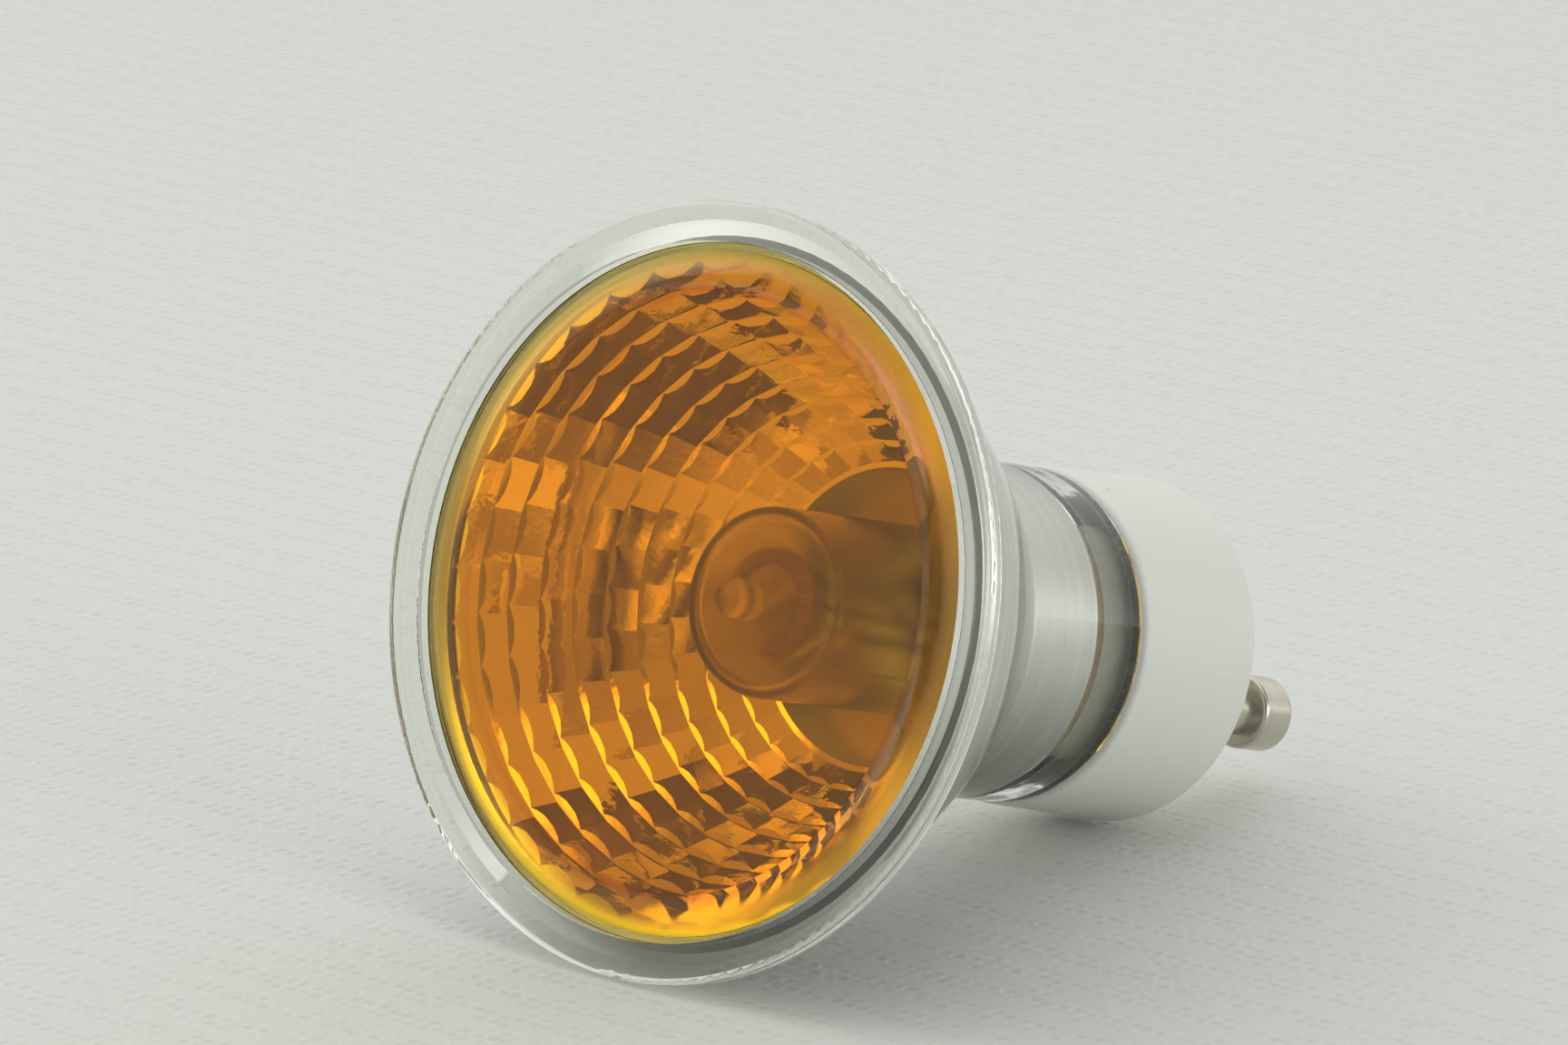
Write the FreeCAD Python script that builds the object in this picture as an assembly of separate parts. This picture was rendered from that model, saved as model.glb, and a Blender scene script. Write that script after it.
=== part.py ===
import FreeCAD, Part
import math
import os

os.makedirs("parts", exist_ok=True)

# Reflector lamp with a twist-lock two-pin cap. Sizes are in millimetres.
# Depths are measured along the lamp, from the front of the rim towards the pins.

# Rim and front lens
rim_radius = 25.0
rim_thickness = 1.3
rim_edge_radius = 0.4
rim_width = 2.59
lens_thickness = 2.55
lens_setback = 0.1
lens_round = 4.1
lens_round_width = 2.5
lens_chamfer = 0.2
bond_width = 0.45
bond_setback = 1.1
glass_gap = 0.05

# Faceted bowl of the reflector
seat_width = 0.9
collar_length = 0.3
facet_ledge = 0.1
focal_length = 4.55
bowl_wall = 1.55
outside_setback = 0.45
ring_count = 10
sector_count = 36
first_sector_angle = 5.3
ring_turn = -1.9
ring_growth = 1.19
ring_step = 0.08
facet_bulge = 0.12
facet_inset = 0.14
crest_inset = 0.34
crest_share = 0.55

# Neck of the reflector
neck_bore = 9.8
neck_wall = 1.35
throat_ledge = 0.4
shoulder_run = 0.9
neck_length = 12.0
web_length = 3.8
spigot_step = 1.55
spigot_wall = 1.8
spigot_length = 5.0

# Ceramic cap
joint_thickness = 0.5
joint_sleeve = 0.2
cap_overhang = 0.1
cap_flare = 0.3
cap_lip_edge = 0.4
cap_body_length = 11.2
cap_bevel_length = 4.6
cap_end_wall = 4.1
socket_clearance = 0.2
cavity_clearance = 0.4
fit_gap = 0.03

# Contact pins
pin_pitch = 10.0
pin_angle = -34.5
pin_land = 1.0
pin_length = 7.4
pin_head_radius = 2.5
pin_head_length = 3.0
pin_head_edge = 0.35
pin_shank_radius = 1.6
pin_flange_radius = 2.2
pin_flange_thickness = 0.4
pin_bore = 0.5
pin_bore_depth = 4.5

# Quartz capsule
capsule_clearance = 2.4
capsule_radius = 6.2
capsule_wall = 0.9
capsule_round = 2.0
capsule_shoulder = 2.0
tip_radius = 1.3
tip_length = 2.8
pinch_width = 11.0
pinch_thickness = 3.2
pinch_length = 13.0
pinch_setback = 6.1
cavity_setback = 1.0

# Filament, its mount and the leads
coil_radius = 0.55
coil_ring_radius = 3.0
coil_gap_angle = 105.0
coil_bend = 0.8
coil_leg = 0.6
coil_clearance = 0.8
bead_radius = 0.9
bead_overhang = 1.0
bead_setback = 0.4
support_radius = 0.2
support_offset = 0.9
support_angle = 45.0
support_gap = 0.15
lead_radius = 0.35
lead_offset = 2.4
lead_bend = 1.2
lead_tip = 1.0
lead_run = 2.5
foil_width = 3.0
foil_length = 6.5
foil_thickness = 0.15
foil_setback = 3.5
weld_overlap = 1.2
fuse_radius = 0.15
tail_length = 1.0

# Potting cement
potting_setback = 1.8

# Places along the lamp, worked out from the sizes above
lens_back = lens_setback + lens_thickness
seat_depth = lens_back + glass_gap
recess_radius = rim_radius - rim_width
lens_radius = recess_radius - bond_width - 2 * fit_gap
collar_radius = lens_radius - seat_width
facet_start = seat_depth + collar_length
mouth_radius = collar_radius - facet_ledge
throat_radius = neck_bore + throat_ledge
bowl_apex = facet_start + mouth_radius**2 / (4 * focal_length)
facet_end = bowl_apex - throat_radius**2 / (4 * focal_length)
neck_radius = neck_bore + neck_wall
neck_end = facet_end + neck_length
web_front = neck_end - web_length
spigot_radius = neck_radius - spigot_step
spigot_bore = spigot_radius - spigot_wall
spigot_end = neck_end + spigot_length
cap_front = neck_end + joint_thickness
cap_corner = cap_front + cap_body_length
cap_rear = cap_corner + cap_bevel_length
cap_lip_radius = neck_radius + cap_overhang
cap_radius = cap_lip_radius + cap_flare
socket_radius = spigot_radius + joint_sleeve
socket_floor = spigot_end + socket_clearance
cavity_floor = cap_rear - cap_end_wall
pin_end = cap_rear + pin_length
pin_offset = pin_pitch / 2
cap_rear_radius = pin_offset + pin_shank_radius + pin_land
cavity_radius = pin_offset + pin_flange_radius + cavity_clearance

tip_front = seat_depth + capsule_clearance
capsule_front = tip_front + tip_length
body_end = neck_end - pinch_setback
pinch_end = body_end + pinch_length
cavity_end = body_end - cavity_setback
cavity_taper = cavity_end - capsule_shoulder
bead_depth = cavity_taper - bead_setback
coil_depth = capsule_front + capsule_wall + coil_clearance + coil_radius
leg_end = coil_depth + coil_bend + coil_leg
foil_front = body_end + foil_setback
foil_rear = foil_front + foil_length
potting_front = neck_end - potting_setback

AXIS = FreeCAD.Vector(0, 1, 0)
CENTRE = FreeCAD.Vector(0, 0, 0)


def at(radius, depth, side=0.0):
    """The point at this distance from the axis and this depth. The origin is the cap's rear face."""
    return FreeCAD.Vector(radius, depth - cap_rear, side)


def line(start, end):
    return Part.makeLine(start, end)


def arc(start, middle, end):
    return Part.Arc(start, middle, end).toShape()


def turned(outline):
    """A solid of revolution about the lamp's axis from a closed list of edges."""
    return Part.Face(Part.Wire(outline)).revolve(CENTRE, AXIS, 360)


def turned_polygon(corners):
    """A solid of revolution from (radius, depth) corners."""
    points = [at(radius, depth) for radius, depth in corners]
    return turned([line(a, b) for a, b in zip(points, points[1:] + points[:1])])


def turned_to_pins(shape):
    """The shape turned from the X axis to the line that the two pins lie on."""
    shape.rotate(CENTRE, AXIS, -pin_angle)
    return shape


def mirrored(shape):
    """The same piece on the other side of the axis."""
    copy = shape.copy()
    copy.rotate(CENTRE, AXIS, 180)
    return copy


def reflected(shape):
    """The mirror image of a piece in the plane that halves the filament."""
    return shape.mirror(CENTRE, FreeCAD.Vector(1, 0, 0))


def rod(points, radius, bend=0.0):
    """A round rod through the points, with an arc of the given radius at each inner point."""
    edges = []
    start = points[0]
    for before, corner, after in zip(points, points[1:], points[2:]):
        back = (before - corner).normalize()
        ahead = (after - corner).normalize()
        half_turn = (math.pi - back.getAngle(ahead)) / 2
        reach = bend * math.tan(half_turn)
        inward = (back + ahead).normalize()
        dip = bend / math.cos(half_turn) - bend
        edges.append(line(start, corner + back * reach))
        edges.append(arc(corner + back * reach, corner + inward * dip, corner + ahead * reach))
        start = corner + ahead * reach
    edges.append(line(start, points[-1]))
    section = Part.Wire(Part.makeCircle(radius, points[0], points[1] - points[0]))
    return Part.Wire(edges).makePipe(Part.Face(section))


def bowl_radius(depth):
    """The bowl's parabola, which the corners of the facets lie on."""
    return math.sqrt(4 * focal_length * (bowl_apex - depth))


def ring_place(ring):
    """Radius and depth of the corners at the front of one ring of facets."""
    share = (ring / ring_count) ** ring_growth
    radius = mouth_radius + (throat_radius - mouth_radius) * share
    return radius, bowl_apex - radius**2 / (4 * focal_length)


def sector_corner(ring, sector, radius, depth):
    """A corner of one ring's facets. Each ring is turned a little against the one in front of it."""
    angle = 2 * math.pi * sector / sector_count + math.radians(first_sector_angle + ring_turn * ring)
    return at(radius * math.cos(angle), depth, radius * math.sin(angle))


def front_corner(ring, sector):
    """Corner at the front of a facet, within the straight back edges of the ring before."""
    radius, depth = ring_place(ring)
    if ring:
        radius = radius * math.cos(math.pi / sector_count) - ring_step
    return sector_corner(ring, sector, radius, depth)


def back_corner(ring, sector):
    return sector_corner(ring, sector, *ring_place(ring + 1))


def facet_crest(ring, sector):
    """The front edge of one facet: its two corners, with a crest raised inwards between them."""
    start = front_corner(ring, sector)
    end = front_corner(ring, sector + 1)
    inward = at(0, ring_place(ring)[1]) - (start + end) / 2
    rise = inward.normalize() * facet_bulge * (end - start).Length
    width = end - start
    return [start, start + width * facet_inset + rise * crest_share, start + width * crest_inset + rise,
            end - width * crest_inset + rise, end - width * facet_inset + rise * crest_share, end]


def flat_face(*corners):
    return Part.Face(Part.makePolygon([*corners, corners[0]]))


def faceted_faces():
    """Rings of facets tipped inwards at the front, with the fronts and the backs of the rings."""
    faces = []
    fronts = []
    backs = []
    for ring in range(ring_count):
        front = []
        for sector in range(sector_count):
            crest = facet_crest(ring, sector)
            back_start = back_corner(ring, sector)
            back_end = back_corner(ring, sector + 1)
            faces += [flat_face(a, b, back_start) for a, b in zip(crest[:2], crest[1:3])]
            faces.append(flat_face(crest[2], crest[3], back_end, back_start))
            faces += [flat_face(a, b, back_end) for a, b in zip(crest[3:], crest[4:])]
            front += crest[:-1]
        back = [back_corner(ring, sector) for sector in range(sector_count)]
        fronts.append(Part.makePolygon(front + front[:1]))
        backs.append(Part.makePolygon(back + back[:1]))
    return faces, fronts, backs


def reflector_skin():
    """Everything on the reflector that is turned, from the front of the facets round to their end."""
    edge_back = rim_thickness - rim_edge_radius
    bevel = rim_edge_radius * (1 - math.sqrt(0.5))
    depth_front = facet_start + outside_setback
    depth_mid = (facet_start + facet_end) / 2
    bowl_front = at(bowl_radius(depth_front) + bowl_wall, depth_front)
    bowl_middle = at(bowl_radius(depth_mid) + bowl_wall, depth_mid)
    bowl_back = at(throat_radius + bowl_wall, facet_end)
    rim_front = at(rim_radius - rim_edge_radius, 0)
    rim_side = at(rim_radius, rim_edge_radius)
    rim_back = at(rim_radius - rim_edge_radius, rim_thickness)
    chain = [at(collar_radius, facet_start), at(collar_radius, seat_depth), at(recess_radius, seat_depth),
             at(recess_radius, 0), rim_front]
    edges = [line(a, b) for a, b in zip(chain, chain[1:])]
    edges.append(arc(rim_front, at(rim_radius - bevel, bevel), rim_side))
    edges.append(line(rim_side, at(rim_radius, edge_back)))
    edges.append(arc(at(rim_radius, edge_back), at(rim_radius - bevel, rim_thickness - bevel), rim_back))
    flange_root = at(bowl_radius(depth_front) + 2 * bowl_wall, rim_thickness)
    edges.append(line(rim_back, flange_root))
    edges.append(line(flange_root, bowl_front))
    edges.append(arc(bowl_front, bowl_middle, bowl_back))
    chain = [bowl_back, at(neck_radius, facet_end + shoulder_run), at(neck_radius, neck_end),
             at(spigot_radius, neck_end), at(spigot_radius, spigot_end), at(spigot_bore, spigot_end),
             at(spigot_bore, web_front), at(neck_bore, web_front), at(neck_bore, facet_end)]
    edges += [line(a, b) for a, b in zip(chain, chain[1:])]
    return [edge.revolve(CENTRE, AXIS, 360) for edge in edges]


def rim_circle(skin, radius, depth):
    """The circle of the turned skin that lies at this radius and depth."""
    start = at(radius, depth)
    for face in skin:
        for edge in face.Edges:
            if edge.isClosed() and edge.Vertexes[0].Point.isEqual(start, 1e-6):
                if abs(edge.Length - 2 * math.pi * radius) < 1e-3:
                    return Part.Wire(edge)
    raise ValueError("the turned skin has no such circle")


def reflector():
    """One pressed glass piece: flange, faceted bowl, neck and the spigot that the cap holds."""
    skin = reflector_skin()
    faces, fronts, backs = faceted_faces()
    outsides = [rim_circle(skin, collar_radius, facet_start)] + backs
    insides = fronts + [rim_circle(skin, neck_bore, facet_end)]
    ledges = [Part.makeFace([outside, inside], "Part::FaceMakerBullseye")
              for outside, inside in zip(outsides, insides)]
    shell = Part.makeCompound(skin + faces + ledges)
    shell.sewShape()
    solid = Part.Solid(shell.Shells[0])
    if solid.Volume < 0:
        solid.reverse()
    return solid


def front_lens():
    """Coloured glass disc, its front edge rounded by the fire and its back edge chamfered."""
    flat_radius = lens_radius - lens_round_width
    half_swing = math.asin(lens_round_width / lens_round) / 2
    middle = at(flat_radius + lens_round * math.sin(half_swing),
                lens_setback + lens_round * (1 - math.cos(half_swing)))
    side_front = at(lens_radius, lens_setback + lens_round * (1 - math.cos(2 * half_swing)))
    chain = [side_front, at(lens_radius, lens_back - lens_chamfer),
             at(lens_radius - lens_chamfer, lens_back), at(0, lens_back),
             at(0, lens_setback), at(flat_radius, lens_setback)]
    edges = [line(a, b) for a, b in zip(chain, chain[1:])]
    edges.append(arc(at(flat_radius, lens_setback), middle, side_front))
    return turned(edges)


def lens_bond():
    """Clear adhesive in the gap between the lens and the wall of its recess."""
    inner = lens_radius + fit_gap
    outer = inner + bond_width
    front = lens_setback + bond_setback
    return turned_polygon([(inner, front), (outer, front), (outer, lens_back), (inner, lens_back)])


def neck_cement():
    """Bonding cement: a ring between the neck and the cap's lip, and a sleeve round the spigot."""
    inner = spigot_radius + fit_gap
    outer = socket_radius - fit_gap
    lip = cap_lip_radius - cap_lip_edge
    return turned_polygon([(inner, neck_end), (lip, neck_end), (lip, cap_front), (outer, cap_front),
                           (outer, spigot_end), (inner, spigot_end)])


def ceramic_cap():
    """Turned ceramic body with a socket for the glass, a cavity and two holes for the pins."""
    edge = cap_lip_edge * (1 - math.sqrt(0.5))
    lip_front = at(cap_lip_radius - cap_lip_edge, cap_front)
    lip_side = at(cap_lip_radius, cap_front + cap_lip_edge)
    chain = [lip_side, at(cap_radius, cap_corner), at(cap_rear_radius, cap_rear), at(0, cap_rear),
             at(0, cavity_floor), at(cavity_radius, cavity_floor), at(cavity_radius, socket_floor),
             at(socket_radius, socket_floor), at(socket_radius, cap_front), lip_front]
    outline = [line(a, b) for a, b in zip(chain, chain[1:])]
    outline.append(arc(lip_front, at(cap_lip_radius - edge, cap_front + edge), lip_side))
    body = turned(outline)
    hole = Part.makeCylinder(pin_shank_radius + fit_gap, cap_end_wall, at(pin_offset, cavity_floor), AXIS)
    turned_to_pins(hole)
    return body.cut([hole, mirrored(hole)])


def contact_pin():
    """Headed pin with a flange inside the cap and a blind bore that grips the lead."""
    flange_front = cavity_floor - pin_flange_thickness
    head_front = pin_end - pin_head_length
    shank_length = head_front - cavity_floor
    shank = Part.makeCylinder(pin_shank_radius, shank_length, at(pin_offset, cavity_floor), AXIS)
    flange = Part.makeCylinder(pin_flange_radius, pin_flange_thickness, at(pin_offset, flange_front), AXIS)
    head = Part.makeCylinder(pin_head_radius, pin_head_length, at(pin_offset, head_front), AXIS)
    head = head.makeFillet(pin_head_edge, [edge for edge in head.Edges if edge.isClosed()])
    bore = Part.makeCylinder(pin_bore, pin_bore_depth, at(pin_offset, flange_front), AXIS)
    pin = shank.fuse([flange, head]).cut(bore).removeSplitter()
    return turned_to_pins(pin)


def rounded_front(radius, front, round_radius):
    """The arc between a flat end face and the wall of a turned piece of this radius."""
    slant = round_radius * (1 - math.sqrt(0.5))
    return arc(at(radius - round_radius, front), at(radius - slant, front + slant),
               at(radius, front + round_radius))


def capsule_outside():
    """Flat-ended tube with a sealed exhaust tip, drawn down to a flat pinch."""
    tip_side = at(tip_radius, tip_front + tip_radius)
    slant = tip_radius * math.sqrt(0.5)
    edges = [arc(at(0, tip_front), at(slant, tip_front + tip_radius - slant), tip_side),
             line(tip_side, at(tip_radius, capsule_front)),
             line(at(tip_radius, capsule_front), at(capsule_radius - capsule_round, capsule_front)),
             rounded_front(capsule_radius, capsule_front, capsule_round)]
    shoulder_end = body_end + capsule_shoulder
    chain = [at(capsule_radius, capsule_front + capsule_round), at(capsule_radius, body_end),
             at(pinch_thickness / 2, shoulder_end), at(0, shoulder_end), at(0, tip_front)]
    edges += [line(a, b) for a, b in zip(chain, chain[1:])]
    pinch_front = body_end - cavity_setback / 2
    pinch = Part.makeBox(pinch_width, pinch_end - pinch_front, pinch_thickness,
                         at(-pinch_width / 2, pinch_front, -pinch_thickness / 2))
    return turned(edges).fuse(pinch).removeSplitter()


def capsule_cavity():
    """The room inside the capsule, one wall in from its outside and tapered towards the pinch."""
    radius = capsule_radius - capsule_wall
    front = capsule_front + capsule_wall
    inner_round = capsule_round - capsule_wall
    chain = [at(radius, front + inner_round), at(radius, cavity_taper), at(lead_offset, cavity_end),
             at(0, cavity_end), at(0, front), at(radius - inner_round, front)]
    edges = [line(a, b) for a, b in zip(chain, chain[1:])]
    edges.append(rounded_front(radius, front, inner_round))
    return turned(edges)


def on_ring(angle, depth):
    """A point on the coil's ring, at this angle in degrees above the line of the leads."""
    swing = math.radians(angle)
    return at(coil_ring_radius * math.cos(swing), depth, coil_ring_radius * math.sin(swing))


def coil_end():
    """Where the coil leaves its ring, the way that it leaves it, and the foot of its leg."""
    angle = coil_gap_angle / 2 - 90
    start = on_ring(angle, coil_depth)
    onward = on_ring(angle - 90, coil_depth) - at(0, coil_depth)
    onward.normalize()
    return start, onward, start + onward * coil_bend + AXIS * (leg_end - coil_depth)


def filament():
    """Outer form of the coiled wire: most of a ring across the capsule, with a leg back from each end."""
    start, onward, foot = coil_end()
    turn_centre = start + AXIS * coil_bend
    turn_middle = turn_centre + (onward - AXIS) * (coil_bend * math.sqrt(0.5))
    turn_end = turn_centre + onward * coil_bend
    leg = [line(foot, turn_end), arc(turn_end, turn_middle, start)]
    ring = arc(start, on_ring(90, coil_depth), at(-start.x, coil_depth, start.z))
    other_leg = [reflected(edge) for edge in reversed(leg)]
    section = Part.Wire(Part.makeCircle(coil_radius, foot, AXIS))
    return Part.Wire(leg + [ring] + other_leg).makePipe(Part.Face(section))


def inner_lead():
    """Wire from the foot of the filament's leg, over to the bead and on to the weld on its foil."""
    foot = coil_end()[2]
    straight = foot + AXIS * lead_tip
    points = [foot, straight, at(lead_offset, leg_end + lead_tip + lead_run),
              at(lead_offset, foil_front + weld_overlap)]
    return rod(points, lead_radius, lead_bend)


def foil():
    """Thin strip sealed in the pinch, welded to the flat side of both leads."""
    corner = at(lead_offset - foil_width / 2, foil_front, lead_radius)
    return Part.makeBox(foil_width, foil_length, foil_thickness, corner)


def outer_lead_points():
    """From the foil out of the pinch, sideways, and into the bore of the pin."""
    flange_front = cavity_floor - pin_flange_thickness
    return [at(lead_offset, foil_rear - weld_overlap), at(lead_offset, pinch_end + tail_length),
            at(pin_offset, flange_front - tail_length), at(pin_offset, flange_front + pin_bore_depth)]


def support_wire():
    """Slanting wire from the bead to the back of the coil's ring."""
    behind_coil = on_ring(support_angle, coil_depth + coil_radius + support_gap)
    return rod([behind_coil, at(support_offset, bead_depth)], support_radius)


def bridge_bead():
    """Quartz rod across the capsule that both leads and both supports are sealed into."""
    reach = lead_offset + bead_overhang
    return Part.makeCylinder(bead_radius, 2 * reach, at(-reach, bead_depth), FreeCAD.Vector(1, 0, 0))


def potting_cement(inner_pieces):
    """Cement that fills the spigot and the cap's cavity round the pinch, the leads and the pins."""
    front = spigot_bore - fit_gap
    rear = cavity_radius - fit_gap
    block = turned_polygon([(0, potting_front), (front, potting_front), (front, socket_floor),
                            (rear, socket_floor), (rear, cavity_floor), (0, cavity_floor)])
    return block.cut(inner_pieces)


def build():
    """All pieces by the names that they are kept under."""
    pieces = {
        "reflector": reflector(),
        "front_lens": front_lens(),
        "lens_bond": lens_bond(),
        "neck_cement": neck_cement(),
        "ceramic_cap": ceramic_cap(),
        "filament": filament(),
    }
    lead = inner_lead()
    strip = foil()
    support = support_wire()
    path = outer_lead_points()
    outer_lead = rod(path, lead_radius, lead_bend)
    fuse_start = path[1] + (path[0] - path[1]) / 2
    stub = rod([path[0], fuse_start], lead_radius)
    fuse = rod([fuse_start, path[1], path[2], path[3]], fuse_radius, lead_bend)
    leads = [lead, reflected(lead)]
    foils = [strip, reflected(strip)]
    supports = [support, reflected(support)]
    outside = capsule_outside()
    tails = [outer_lead, mirrored(stub), mirrored(fuse)]
    pieces["quartz_capsule"] = outside.cut([capsule_cavity()] + leads + foils + tails)
    pieces["bridge_bead"] = bridge_bead().cut(leads + supports)
    pieces["inner_lead_near"], pieces["inner_lead_far"] = leads
    pieces["foil_near"], pieces["foil_far"] = foils
    pieces["support_wire_near"], pieces["support_wire_far"] = supports
    pieces["outer_lead_near"], pieces["outer_lead_far"], pieces["fuse_wire"] = tails
    for name in ("filament", "quartz_capsule", "bridge_bead", "inner_lead_near", "inner_lead_far",
                 "foil_near", "foil_far", "support_wire_near", "support_wire_far",
                 "outer_lead_near", "outer_lead_far", "fuse_wire"):
        turned_to_pins(pieces[name])
    pins = [contact_pin()]
    pins.append(mirrored(pins[0]))
    pieces["contact_pin_near"], pieces["contact_pin_far"] = pins
    pieces["potting_cement"] = potting_cement([turned_to_pins(outside)] + tails + pins)
    return pieces


for name, shape in build().items():
    print(name, len(shape.Solids), shape.isValid(), round(shape.Volume, 2), len(shape.Faces))
    shape.exportStep("parts/" + name + ".step")
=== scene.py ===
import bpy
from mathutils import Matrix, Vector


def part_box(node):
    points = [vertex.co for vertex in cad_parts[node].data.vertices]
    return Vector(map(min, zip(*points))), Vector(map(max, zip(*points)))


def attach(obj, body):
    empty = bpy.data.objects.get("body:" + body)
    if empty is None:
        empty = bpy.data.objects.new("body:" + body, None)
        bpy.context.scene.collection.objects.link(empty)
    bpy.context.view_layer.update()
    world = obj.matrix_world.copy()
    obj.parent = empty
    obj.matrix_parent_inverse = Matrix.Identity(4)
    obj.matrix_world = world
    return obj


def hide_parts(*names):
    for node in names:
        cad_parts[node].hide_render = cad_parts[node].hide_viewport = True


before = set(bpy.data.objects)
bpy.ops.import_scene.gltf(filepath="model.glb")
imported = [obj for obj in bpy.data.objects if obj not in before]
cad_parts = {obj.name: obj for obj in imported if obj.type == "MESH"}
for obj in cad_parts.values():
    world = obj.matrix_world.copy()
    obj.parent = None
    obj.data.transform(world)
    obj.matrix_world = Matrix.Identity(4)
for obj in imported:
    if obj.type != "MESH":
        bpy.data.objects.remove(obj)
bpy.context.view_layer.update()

import math

import bmesh
import bpy
from mathutils import Matrix, Vector

# A reflector lamp lying on a pale sheet. Lengths are in metres, in the lamp's own frame: its axis
# is Y, its face looks to -Y, and the origin is the middle of the cap's rear face. Depths are
# measured from the front of the rim. Sizes of the solids repeat those of the part's source.

MM = 0.001
AXIS = Vector((0, 1, 0))

# Places on the lamp, from the frame
RIM_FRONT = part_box("reflector")[0].y
RIM_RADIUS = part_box("reflector")[1].x
GLASS_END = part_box("reflector")[1].y
CAP_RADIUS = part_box("ceramic_cap")[1].x
COIL_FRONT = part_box("filament")[0].y

# The camera, fitted to the outlines in the photograph
CAMERA_PLACE = Vector((445.26, -576.28, 35.74)) * MM
CAMERA_FORWARD = Vector((-0.63886, 0.76807, -0.04378)).normalized()
CAMERA_UP = Vector((-0.17337, -0.08830, 0.98089)).normalized()
CAMERA_LENS = 250.0
SENSOR_WIDTH = 36.0
NEAR_CLIP = 10 * MM

# What the lamp lies on: the rounded back edge of its rim, and the corner where its cap's bevel starts
RIM_THICKNESS = 1.3 * MM
RIM_EDGE_RADIUS = 0.4 * MM
CAP_BEVEL_LENGTH = 4.6 * MM
RIM_EDGE_CENTRE = Vector((0, RIM_FRONT + RIM_THICKNESS - RIM_EDGE_RADIUS, RIM_EDGE_RADIUS - RIM_RADIUS))
CAP_CORNER = Vector((0, -CAP_BEVEL_LENGTH, -CAP_RADIUS))
SHEET_SIZE = 1.6

# Inside of the reflector
BOND_DEPTH = 1.1 * MM
MOUTH_RADIUS = 20.9 * MM
THROAT_RADIUS = 10.2 * MM
NECK_BORE = 9.8 * MM
FOCAL_LENGTH = 4.55 * MM
BOWL_APEX = 27.0 * MM
FACET_BACK = 21.284 * MM
RING_COUNT = 10
RING_GROWTH = 1.19
RING_TURN = math.radians(-1.9)
SECTOR = math.radians(10)
FIRST_SECTOR = math.radians(5.3)

# Limits of the metal film. They leave a little room round the faces that carry it.
WALL_DEPTH = 0.6 * MM
SEAT_DEPTH = 2.6 * MM
FACET_FRONT = 3.05 * MM
FILM_END = 29.6 * MM
RECESS_LIMIT = 22.5 * MM
SEAT_FILM_RADIUS = 21.95 * MM
BOWL_MARGIN = 0.5 * MM
FILM_LIFT = 0.02 * MM
WELD = 0.0005 * MM

# How the film shades
BORE_FINISH = 1
PANE_ROUNDNESS = 0.5
LEDGE_TILT = math.radians(15)
LEDGE_FLATNESS = 0.99

# Coiled filament: most of a ring, with a leg back from each end
COIL_RADIUS = 0.55 * MM
COIL_RING_RADIUS = 3.0 * MM
COIL_GAP_ANGLE = math.radians(105.0)
COIL_BEND = 0.8 * MM
COIL_LEG = 0.6 * MM
COIL_TURN_PITCH = 0.30 * MM
COIL_WIRE_RADIUS = 0.08 * MM
COIL_POINTS_PER_TURN = 12
PIN_ANGLE = math.radians(-34.5)

# Stained glass of the lens: distances from the axis, and its tint
STAIN_FLAT_RADIUS = 18.0 * MM
STAIN_EDGE_RADIUS = 22.0 * MM
FROSTING_START = 20.2 * MM
FROSTING_END = 21.2 * MM
FROSTING = 0.32
AMBER = (1.0, 0.56, 0.04, 1.0)

# The room: pale walls that brighten upwards, and the plain backdrop that the camera sees instead
WALL_STRENGTH = 0.68
CEILING_STRENGTH = 1.10
BACKDROP_STRENGTH = 0.65

# Round patches of the room. Each has its middle's angle to the right of the camera's side and its
# height, its reach and the width of its soft edge, all in degrees, and its strength.
ROOM_PATCHES = [
    (68.0, 12.0, 30.0, 12.0, 2.10),    # bright wall on the right
    (90.0, 48.0, 22.0, 18.0, 0.50),    # dim wall above it
    (12.0, 38.0, 17.0, 6.0, 0.10),     # dark behind and above the camera
    (12.0, 12.0, 13.0, 5.0, 0.10),     # dark round the camera
    (-18.0, 58.0, 12.0, 5.0, 0.12),    # dark, high on the left
    (-52.0, 18.0, 11.0, 5.0, 0.30),    # dim wall on the left
    (-82.0, 10.5, 5.0, 3.0, 0.50),     # dim, low on the left
    (-62.0, 60.0, 8.0, 6.0, 0.30),     # dim, high on the left
    (-68.0, 55.0, 3.5, 2.0, 1.20),     # small light in the dim patch before
    (-90.0, 31.0, 9.0, 4.0, 0.45),     # dim beside the small window
    (-64.0, 31.0, 5.5, 3.0, 2.60),     # small window on the left
    (-64.0, 4.0, 6.0, 3.0, 1.60),      # bright patch below it
    (-118.0, 28.0, 20.0, 3.0, 1.60),   # large window on the far left
    (30.0, 80.0, 11.0, 3.0, 1.50),     # light overhead
]


def sheet_normal():
    """Up, square to the plane that touches the rim's rounded edge and the cap's corner."""
    run = CAP_CORNER.y - RIM_EDGE_CENTRE.y
    rise = CAP_CORNER.z - RIM_EDGE_CENTRE.z
    tilt = math.atan2(rise, run) + math.asin(RIM_EDGE_RADIUS / math.hypot(run, rise))
    return Vector((0, -math.sin(tilt), math.cos(tilt)))


UP = sheet_normal()
RIGHT = CAMERA_FORWARD.cross(CAMERA_UP).normalized()
AHEAD = UP.cross(RIGHT).normalized()


def direction(right, ahead, up):
    """A direction by its shares to the camera's right, ahead along the sheet and up from it."""
    return (right * RIGHT + ahead * AHEAD + up * UP).normalized()


def polar(angle):
    """The direction away from the lamp's axis at this angle round it."""
    return Vector((math.cos(angle), 0, math.sin(angle)))


def colour(red, green, blue):
    return (red, green, blue, 1.0)


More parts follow.
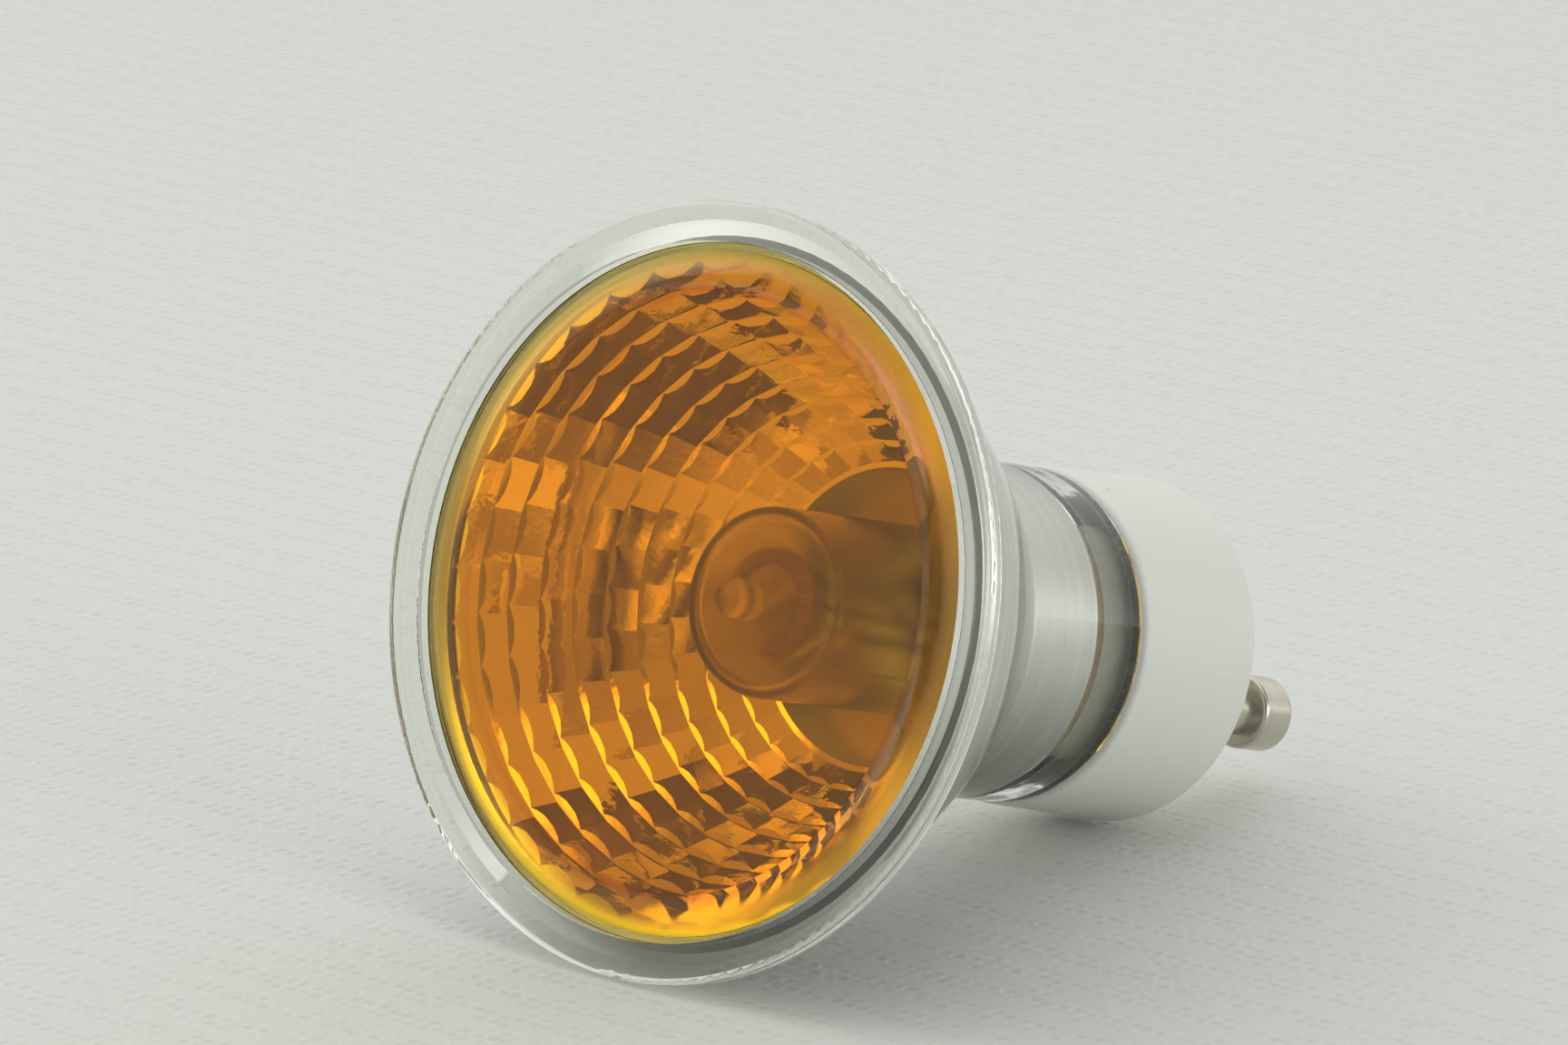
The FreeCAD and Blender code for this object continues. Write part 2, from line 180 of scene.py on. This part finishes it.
def node(tree, kind, inputs=None, **settings):
    """A shader node of this kind, with its settings and inputs filled in."""
    made = tree.nodes.new("ShaderNode" + kind)
    for key, value in settings.items():
        setattr(made, key, value)
    for key, value in (inputs or {}).items():
        if isinstance(value, bpy.types.NodeSocket):
            tree.links.new(value, made.inputs[key])
        else:
            made.inputs[key].default_value = value
    return made


def surface(name, **constants):
    """A material with one Principled shader, and that shader's own constant values."""
    material = bpy.data.materials.new(name)
    material.use_nodes = True
    tree = material.node_tree
    shader = tree.nodes["Principled BSDF"]
    for key, value in constants.items():
        shader.inputs[key.replace("_", " ")].default_value = value
    return material, tree, shader


def place(tree):
    """Where a point lies on its own object."""
    return node(tree, "TexCoord").outputs["Object"]


def stretched_place(tree, across, along):
    """The same place, scaled so that a noise turns into streaks round the lamp."""
    inputs = {"Vector": place(tree), "Scale": (across, along, across)}
    return node(tree, "Mapping", inputs).outputs["Vector"]


def axis_distance(tree):
    """Distance from the lamp's axis."""
    flat = node(tree, "VectorMath", {0: place(tree), 1: (1.0, 0.0, 1.0)}, operation="MULTIPLY")
    length = node(tree, "VectorMath", {0: flat.outputs["Vector"]}, operation="LENGTH")
    return length.outputs["Value"]


def noise(tree, scale, detail=3.0, roughness=0.5, vector=None):
    """A cloudy value from 0 to 1."""
    inputs = {"Scale": scale, "Detail": detail, "Roughness": roughness, "Vector": vector or place(tree)}
    return node(tree, "TexNoise", inputs).outputs["Fac"]


def cells(tree, scale, randomness=1.0):
    """Distance from the middle of the nearest of many small cells."""
    inputs = {"Scale": scale, "Randomness": randomness, "Vector": place(tree)}
    return node(tree, "TexVoronoi", inputs).outputs["Distance"]


def spread(tree, value, low, high, to_low, to_high):
    """The value, moved from one range to another and held within it."""
    inputs = {"Value": value, "From Min": low, "From Max": high, "To Min": to_low, "To Max": to_high}
    return node(tree, "MapRange", inputs).outputs["Result"]


def ramp(tree, value, stops):
    """Colours by a value, as (position, colour) stops."""
    made = node(tree, "ValToRGB", {"Fac": value})
    bar = made.color_ramp.elements
    while len(bar) < len(stops):
        bar.new(0.5)
    for element, (position, shade) in zip(bar, stops):
        element.position = position
        element.color = shade
    return made.outputs["Color"]


def two_colours(tree, shader, share, first, second):
    """Colours the surface from the first to the second colour as the share goes from 0 to 1."""
    mixed = node(tree, "Mix", {0: share, 6: first, 7: second}, data_type="RGBA")
    tree.links.new(mixed.outputs[2], shader.inputs["Base Color"])


def bump(tree, shader, height, distance, strength=1.0):
    made = node(tree, "Bump", {"Height": height, "Distance": distance, "Strength": strength})
    tree.links.new(made.outputs["Normal"], shader.inputs["Normal"])


def clear_where(tree, shader, share, tint):
    """Lets light straight through with this tint where the share is 1."""
    clear = node(tree, "BsdfTransparent", {"Color": tint})
    inputs = {0: share, 1: shader.outputs["BSDF"], 2: clear.outputs["BSDF"]}
    mixed = node(tree, "MixShader", inputs)
    tree.links.new(mixed.outputs["Shader"], tree.nodes["Material Output"].inputs["Surface"])


def see_through(name, shadow_tint, **constants):
    """Glass or clear glue. Lamps shine through it with a tint, so that its shadow isn't solid."""
    material, tree, shader = surface(name, Transmission_Weight=1.0, **constants)
    clear_where(tree, shader, node(tree, "LightPath").outputs["Is Shadow Ray"], shadow_tint)
    return material, tree, shader


def pressed_glass():
    """Clear pressed glass, a little green in its thickness, with a faint ripple from the mould."""
    material, tree, shader = see_through(
        "pressed_glass", colour(0.92, 0.93, 0.89),
        Base_Color=colour(0.90, 0.915, 0.86), Roughness=0.0, IOR=1.47)
    bump(tree, shader, noise(tree, scale=260.0, detail=2.0), distance=0.05 * MM, strength=0.5)
    return material


def amber_glass():
    """Stained glass: amber on the flat, darker where the edge starts to round, then yellow."""
    material, tree, shader = see_through("amber_glass", AMBER, Roughness=0.0, IOR=1.5)
    distance = axis_distance(tree)
    share = spread(tree, distance, STAIN_FLAT_RADIUS, STAIN_EDGE_RADIUS, 0.0, 1.0)
    stops = [
        (0.0, AMBER),
        (0.28, AMBER),
        (0.33, colour(0.90, 0.33, 0.03)),
        (0.40, colour(0.80, 0.48, 0.06)),
        (0.58, colour(1.0, 0.60, 0.05)),
        (0.74, colour(1.0, 0.74, 0.07)),
        (0.90, colour(1.0, 0.86, 0.12)),
    ]
    tree.links.new(ramp(tree, share, stops), shader.inputs["Base Color"])
    frosting = spread(tree, distance, FROSTING_START, FROSTING_END, 0.0, FROSTING)
    tree.links.new(frosting, shader.inputs["Roughness"])
    return material


def quartz_glass():
    """Quartz, a little cloudy as it is blown and pinched."""
    return see_through(
        "quartz_glass", colour(0.95, 0.95, 0.95),
        Base_Color=colour(0.99, 0.99, 0.99), Roughness=0.25, IOR=1.46)[0]


def clear_adhesive():
    """Clear glue round the lens, tinted yellow as painted amber light from the lens beside it."""
    # The yellow base colour is painted light from the amber lens, not the glue's own colour.
    return see_through(
        "clear_adhesive", colour(0.90, 0.88, 0.84),
        Base_Color=colour(0.98, 0.88, 0.45), Roughness=0.08, IOR=1.45)[0]


def mirror_metal(name, roughness, brightness):
    """Bright metal film, laid on pressed glass as a vapour."""
    grey = colour(brightness, brightness, brightness)
    material, tree, shader = surface(name, Base_Color=grey, Metallic=1.0, Roughness=roughness)
    bump(tree, shader, noise(tree, scale=420.0, roughness=0.6), distance=0.03 * MM, strength=0.6)
    return material


def streaked_metal(name, roughness, low, high):
    """The same film seen through the glass, with soft streaks running round the lamp."""
    material, tree, shader = surface(name, Metallic=1.0, Roughness=roughness)
    stretched = stretched_place(tree, across=25.0, along=700.0)
    streaks = noise(tree, scale=1.0, detail=4.0, roughness=0.6, vector=stretched)
    share = spread(tree, streaks, 0.3, 0.7, 0.0, 1.0)
    two_colours(tree, shader, share, colour(low, low, 0.97 * low), colour(high, high, 0.97 * high))
    return material


def plain_metal(name, roughness, scale, dark, light):
    """Drawn or rolled metal, a little uneven in its tone."""
    material, tree, shader = surface(name, Metallic=1.0, Roughness=roughness)
    two_colours(tree, shader, noise(tree, scale), dark, light)
    return material


def tungsten_wire():
    dark, light = colour(0.30, 0.29, 0.28), colour(0.48, 0.47, 0.45)
    return plain_metal("tungsten_wire", 0.35, 3000.0, dark, light)


def molybdenum_foil():
    dark, light = colour(0.50, 0.49, 0.47), colour(0.62, 0.61, 0.59)
    return plain_metal("molybdenum_foil", 0.30, 900.0, dark, light)


def nickel_wire():
    dark, light = colour(0.52, 0.50, 0.46), colour(0.66, 0.63, 0.58)
    return plain_metal("nickel_wire", 0.30, 1200.0, dark, light)


def nickel_plate():
    """Nickel on turned brass: soft streaks round the pin and a warm cast."""
    material, tree, shader = surface("nickel_plate", Metallic=1.0, Roughness=0.24)
    stretched = stretched_place(tree, across=300.0, along=5000.0)
    lines = noise(tree, scale=1.0, roughness=0.6, vector=stretched)
    two_colours(tree, shader, lines, colour(0.49, 0.46, 0.39), colour(0.63, 0.60, 0.52))
    bump(tree, shader, lines, distance=0.01 * MM, strength=0.5)
    return material


def bright_cement():
    """Silvery, uneven cement between the neck and the cap."""
    material, tree, shader = surface("bright_cement", Metallic=0.25, Roughness=0.30)
    grain = noise(tree, scale=1400.0, detail=5.0, roughness=0.7)
    two_colours(tree, shader, grain, colour(0.70, 0.71, 0.66), colour(0.95, 0.95, 0.92))
    bump(tree, shader, grain, distance=0.25 * MM)
    return material


def cap_ceramic():
    """Steatite: off-white, nearly matte, with a fine grain and a few tiny specks."""
    material, tree, shader = surface("cap_ceramic", Roughness=0.42, IOR=1.5)
    specks = spread(tree, cells(tree, scale=260.0), 0.03, 0.045, 1.0, 0.0)
    two_colours(tree, shader, specks, colour(0.735, 0.74, 0.695), colour(0.45, 0.43, 0.38))
    grain = noise(tree, scale=2600.0, detail=4.0, roughness=0.6)
    bump(tree, shader, grain, distance=0.03 * MM, strength=0.5)
    return material


def potting():
    """Rough grey cement inside the cap."""
    material, tree, shader = surface("potting", Roughness=0.9)
    grain = noise(tree, scale=1600.0, detail=5.0, roughness=0.65)
    two_colours(tree, shader, grain, colour(0.40, 0.39, 0.34), colour(0.62, 0.61, 0.55))
    bump(tree, shader, grain, distance=0.15 * MM, strength=0.8)
    return material


def paper_sheet():
    """Pale sheet with dotted embossing and fibres. Its colour holds painted shade: the dots' middles
    are darkened as the embossing's shading, and the sheet grows darker and evener into the distance as
    painted falloff of light. Clear from below.
    """
    material, tree, shader = surface("paper_sheet", Roughness=0.85)
    fibres = noise(tree, scale=900.0, detail=5.0, roughness=0.7)
    dots = spread(tree, cells(tree, scale=850.0, randomness=0.35), 0.15, 0.45, 0.0, 0.6)
    height = node(tree, "Math", {0: dots, 1: fibres}, operation="ADD").outputs["Value"]
    away = node(tree, "VectorMath", {0: place(tree), 1: AHEAD}, operation="DOT_PRODUCT")
    painted_distance_shade = spread(tree, away.outputs["Value"], 0.05, 0.5, 1.0, 0.2)
    # Painted shade: the dots darken the colour as the embossing's shading would, and the sheet darkens
    # away from the lamp as painted falloff of light.
    share = node(tree, "Math", {0: height, 1: painted_distance_shade}, operation="MULTIPLY").outputs["Value"]
    two_colours(tree, shader, share, colour(0.61, 0.625, 0.59), colour(0.70, 0.715, 0.68))
    bump(tree, shader, height, distance=0.20 * MM, strength=0.6)
    below = node(tree, "NewGeometry").outputs["Backfacing"]
    clear_where(tree, shader, below, colour(1.0, 1.0, 1.0))
    return material


def link_object(name, content):
    made = bpy.data.objects.new(name, content)
    bpy.context.scene.collection.objects.link(made)
    return made


def bowl_radius(depth):
    """Radius of the bowl's parabola at this depth."""
    return math.sqrt(4 * FOCAL_LENGTH * max(BOWL_APEX - depth, 0))


def is_coated(centre, first_depth):
    """True for a face behind this depth on the inner wall of the bowl or of the bare neck."""
    depth = centre.y - RIM_FRONT
    radius = math.hypot(centre.x, centre.z)
    if not first_depth < depth < FILM_END:
        return False
    if depth < FACET_FRONT:
        return radius < RECESS_LIMIT
    if depth > FACET_BACK:
        return radius < NECK_BORE + BOWL_MARGIN
    return radius < bowl_radius(depth) + BOWL_MARGIN


def inner_faces(glass, name, first_depth, film_radius, lift):
    """The glass's own inner faces behind this depth, kept in this radius and moved off by a hair."""
    built = bmesh.new()
    built.from_mesh(glass.data)
    others = [face for face in built.faces
              if not is_coated(face.calc_center_median(), first_depth)]
    bmesh.ops.delete(built, geom=others, context="FACES")
    bmesh.ops.remove_doubles(built, verts=built.verts, dist=WELD)
    built.normal_update()
    for face in built.faces:
        face.smooth = True
    for vertex in built.verts:
        radius = math.hypot(vertex.co.x, vertex.co.z)
        if radius > film_radius:
            vertex.co.x *= film_radius / radius
            vertex.co.z *= film_radius / radius
        vertex.co.y = max(vertex.co.y, RIM_FRONT + BOND_DEPTH)
    lifts = [vertex.normal * lift for vertex in built.verts]
    for vertex, move in zip(built.verts, lifts):
        vertex.co += move
    mesh = bpy.data.meshes.new(name)
    built.to_mesh(mesh)
    built.free()
    mesh.materials.clear()
    return mesh


def ring_of(radius):
    """The ring of facets at this distance from the axis, counted from the mouth."""
    share = (MOUTH_RADIUS - radius) / (MOUTH_RADIUS - THROAT_RADIUS)
    return min(int(RING_COUNT * max(share, 0) ** (1 / RING_GROWTH)), RING_COUNT - 1)


def sector_centre(angle, ring):
    """Angle of the middle of the facet that holds this angle, in this ring."""
    first = FIRST_SECTOR + RING_TURN * ring
    return first + (math.floor((angle - first) / SECTOR) + 0.5) * SECTOR


def shade_facets(mesh, roundness, ledge_tilt=None):
    """Panes shade as flat or as round as this, ledges as if tipped inwards, and the rest as turned."""
    normals = [corner.vector.copy() for corner in mesh.corner_normals]
    facet_end = FACET_BACK + 2 * FILM_LIFT
    for face in mesh.polygons:
        middle = face.center
        depth = middle.y - RIM_FRONT
        is_facet = FACET_FRONT < depth < facet_end
        is_ledge = is_facet and ledge_tilt is not None and abs(face.normal.y) > LEDGE_FLATNESS
        if depth > facet_end:
            face.material_index = BORE_FINISH
        on_bowl = bowl_radius(depth)
        heading = math.atan2(middle.z, middle.x)
        centre = sector_centre(heading, ring_of(on_bowl))
        slope = math.atan2(2 * FOCAL_LENGTH, on_bowl)
        level = math.sqrt(1 - min(face.normal.y ** 2, 1))
        outward = math.copysign(level, face.normal.dot(polar(heading)))
        for loop in face.loop_indices:
            point = mesh.vertices[mesh.loops[loop].vertex_index].co
            angle = math.atan2(point.z, point.x)
            if is_ledge:
                normals[loop] = -math.cos(ledge_tilt) * AXIS - math.sin(ledge_tilt) * polar(angle)
            elif is_facet:
                off = (angle - centre + math.pi) % (2 * math.pi) - math.pi
                across = polar(centre + roundness * off)
                normals[loop] = -math.cos(slope) * across - math.sin(slope) * AXIS
            else:
                normals[loop] = face.normal.y * AXIS + outward * polar(angle)
    mesh.normals_split_custom_set(normals)


def mirror_coating(glass):
    """The film's bright side, as seen through the lens."""
    mesh = inner_faces(glass, "mirror_coating", SEAT_DEPTH, SEAT_FILM_RADIUS, FILM_LIFT)
    mesh.materials.append(mirror_metal("mirror_coating", roughness=0.04, brightness=0.93))
    mesh.materials.append(mirror_metal("neck_coating", roughness=0.35, brightness=0.80))
    shade_facets(mesh, PANE_ROUNDNESS, LEDGE_TILT)
    return link_object("mirror_coating", mesh)


def coating_back(glass):
    """The film's duller side, which touches the glass and shows from outside as a round bowl."""
    mesh = inner_faces(glass, "coating_back", WALL_DEPTH, RECESS_LIMIT, -FILM_LIFT)
    mesh.materials.append(streaked_metal("coating_back", roughness=0.28, low=0.60, high=0.80))
    mesh.materials.append(streaked_metal("neck_back", roughness=0.30, low=0.60, high=0.74))
    shade_facets(mesh, roundness=1.0)
    return link_object("coating_back", mesh)


def turned_to_pins(point):
    """A point given for pins on the X axis, turned to the line that they lie on."""
    return Matrix.Rotation(-PIN_ANGLE, 3, "Y") @ point


def coil_spot(length):
    """Middle of the coil and its heading, this far along from the top of its ring."""
    along = abs(length)
    half_swing = math.pi - COIL_GAP_ANGLE / 2
    past_ring = max(along - COIL_RING_RADIUS * half_swing, 0)
    angle = math.pi / 2 - min(along / COIL_RING_RADIUS, half_swing)
    turn = min(past_ring / COIL_BEND, math.pi / 2)
    leg = max(past_ring - COIL_BEND * math.pi / 2, 0)
    depth = COIL_FRONT + COIL_RADIUS
    point = Vector((COIL_RING_RADIUS * math.cos(angle), depth, COIL_RING_RADIUS * math.sin(angle)))
    onward = Vector((math.sin(angle), 0, -math.cos(angle)))
    point += COIL_BEND * (math.sin(turn) * onward + (1 - math.cos(turn)) * AXIS) + leg * AXIS
    heading = math.cos(turn) * onward + math.sin(turn) * AXIS
    if length < 0:
        point.x = -point.x
        heading = Vector((heading.x, -heading.y, -heading.z))
    return point, heading


def coiled_filament():
    """The coil that the filament's plain rod stands for: fine wire wound round the same route."""
    half_ring = COIL_RING_RADIUS * (math.pi - COIL_GAP_ANGLE / 2)
    half = half_ring + COIL_BEND * math.pi / 2 + COIL_LEG
    turns = 2 * half / COIL_TURN_PITCH
    count = int(turns * COIL_POINTS_PER_TURN)
    reach = COIL_RADIUS - COIL_WIRE_RADIUS
    curve = bpy.data.curves.new("filament_coil", "CURVE")
    curve.dimensions = "3D"
    curve.bevel_depth = COIL_WIRE_RADIUS
    curve.bevel_resolution = 1
    curve.use_fill_caps = True
    spline = curve.splines.new("POLY")
    spline.points.add(count)
    for number, point in enumerate(spline.points):
        middle, heading = coil_spot(half * (2 * number / count - 1))
        outward = Vector((middle.x, 0, middle.z)).normalized()
        side = heading.cross(outward).normalized()
        outward = side.cross(heading)
        angle = 2 * math.pi * turns * number / count
        offset = reach * (math.cos(angle) * side + math.sin(angle) * outward)
        point.co = (*turned_to_pins(middle + offset), 1.0)
    return link_object("filament_coil", curve)


def sheet_under_lamp():
    """The paper, level with the plane that the lamp rests on."""
    middle = RIM_EDGE_CENTRE - RIM_EDGE_RADIUS * UP
    signs = ((-1, -1), (1, -1), (1, 1), (-1, 1))
    corners = [middle + SHEET_SIZE / 2 * (right * RIGHT + ahead * AHEAD) for right, ahead in signs]
    mesh = bpy.data.meshes.new("paper_sheet")
    mesh.from_pydata([tuple(corner) for corner in corners], [], [(0, 1, 2, 3)])
    mesh.materials.append(paper_sheet())
    floor = link_object("paper_sheet", mesh)


def dress_nodes():
    """Each node of the frame gets the material of what it is made of."""
    materials = {
        "pressed_glass": pressed_glass(),
        "amber_glass": amber_glass(),
        "quartz_glass": quartz_glass(),
        "clear_adhesive": clear_adhesive(),
        "bright_cement": bright_cement(),
        "cap_ceramic": cap_ceramic(),
        "tungsten_wire": tungsten_wire(),
        "molybdenum_foil": molybdenum_foil(),
        "nickel_wire": nickel_wire(),
        "nickel_plate": nickel_plate(),
        "potting": potting(),
    }
    worn_by = {
        "reflector": "pressed_glass",
        "front_lens": "amber_glass",
        "lens_bond": "clear_adhesive",
        "quartz_capsule": "quartz_glass",
        "bridge_bead": "quartz_glass",
        "filament": "tungsten_wire",
        "fuse_wire": "nickel_wire",
        "potting_cement": "potting",
        "neck_cement": "bright_cement",
        "ceramic_cap": "cap_ceramic",
    }
    for side in ("near", "far"):
        worn_by["inner_lead_" + side] = "molybdenum_foil"
        worn_by["foil_" + side] = "molybdenum_foil"
        worn_by["support_wire_" + side] = "tungsten_wire"
        worn_by["outer_lead_" + side] = "nickel_wire"
        worn_by["contact_pin_" + side] = "nickel_plate"
    for name, wanted in worn_by.items():
        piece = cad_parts[name]
        if not piece.material_slots:
            piece.data.materials.append(None)
        for slot in piece.material_slots:
            slot.link = "OBJECT"
            slot.material = materials[wanted]
    return materials


def area_light(name, towards, distance, size, power, tint):
    """A soft oblong light at this distance from the middle of the glass, facing it."""
    light = bpy.data.lights.new(name, "AREA")
    light.shape = "RECTANGLE"
    light.size, light.size_y = size
    light.energy = power
    light.color = tint
    middle = Vector((0, (RIM_FRONT + GLASS_END) / 2, 0))
    made = link_object(name, light)
    made.location = middle + towards * distance
    made.rotation_euler = (-towards).to_track_quat("-Z", "Y").to_euler()


def room_patch(tree, way, below, across, height, reach, soft_edge, strength):
    """The room's strength with one more round patch over what lies below it."""
    turn = math.radians(across)
    rise = math.radians(height)
    level = math.cos(rise)
    middle = direction(math.sin(turn) * level, -math.cos(turn) * level, math.sin(rise))
    nearness = node(tree, "VectorMath", {0: way, 1: middle}, operation="DOT_PRODUCT")
    inner = math.cos(math.radians(reach))
    outer = math.cos(math.radians(reach + soft_edge))
    share = spread(tree, nearness.outputs["Value"], outer, inner, 0.0, 1.0)
    return node(tree, "Mix", {0: share, 2: below, 3: strength}, data_type="FLOAT").outputs[0]


def studio_world():
    """The room round the lamp: pale walls with bright and dim patches."""
    world = bpy.data.worlds.new("studio")
    world.use_nodes = True
    tree = world.node_tree
    way = node(tree, "TexCoord").outputs["Generated"]
    height = node(tree, "VectorMath", {0: way, 1: UP}, operation="DOT_PRODUCT").outputs["Value"]
    strength = spread(tree, height, 0.05, 0.4, WALL_STRENGTH, CEILING_STRENGTH)
    for patch in ROOM_PATCHES:
        strength = room_patch(tree, way, strength, *patch)
    camera_ray = node(tree, "LightPath").outputs["Is Camera Ray"]
    inputs = {0: camera_ray, 2: strength, 3: BACKDROP_STRENGTH}
    seen = node(tree, "Mix", inputs, data_type="FLOAT").outputs[0]
    background = tree.nodes["Background"]
    background.inputs["Color"].default_value = colour(0.99, 1.0, 0.97)
    tree.links.new(seen, background.inputs["Strength"])
    bpy.context.scene.world = world


def photo_camera():
    """The camera, at the photograph's viewing angle."""
    data = bpy.data.cameras.new("photo_camera")
    data.lens = CAMERA_LENS
    data.sensor_width = SENSOR_WIDTH
    data.clip_start = NEAR_CLIP
    camera = link_object("photo_camera", data)
    turn = Matrix((RIGHT, CAMERA_UP, -CAMERA_FORWARD)).transposed()
    camera.matrix_world = Matrix.Translation(CAMERA_PLACE) @ turn.to_4x4()
    bpy.context.scene.camera = camera


materials = dress_nodes()

coating = mirror_coating(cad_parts["reflector"])
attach(coating, "root")

film_back = coating_back(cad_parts["reflector"])
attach(film_back, "root")

filament = coiled_filament()
filament.data.materials.append(materials["tungsten_wire"])
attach(filament, "root")
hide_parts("filament")

sheet_under_lamp()
studio_world()
area_light("window", towards=direction(-0.55, 0.55, 0.75), distance=0.9, size=(0.9, 0.7),
           power=0.8, tint=(1.0, 1.0, 0.98))
photo_camera()

scene = bpy.context.scene
scene.view_settings.view_transform = "Standard"
scene.cycles.max_bounces = 16
scene.cycles.glossy_bounces = 12
scene.cycles.transmission_bounces = 14
scene.cycles.transparent_max_bounces = 12
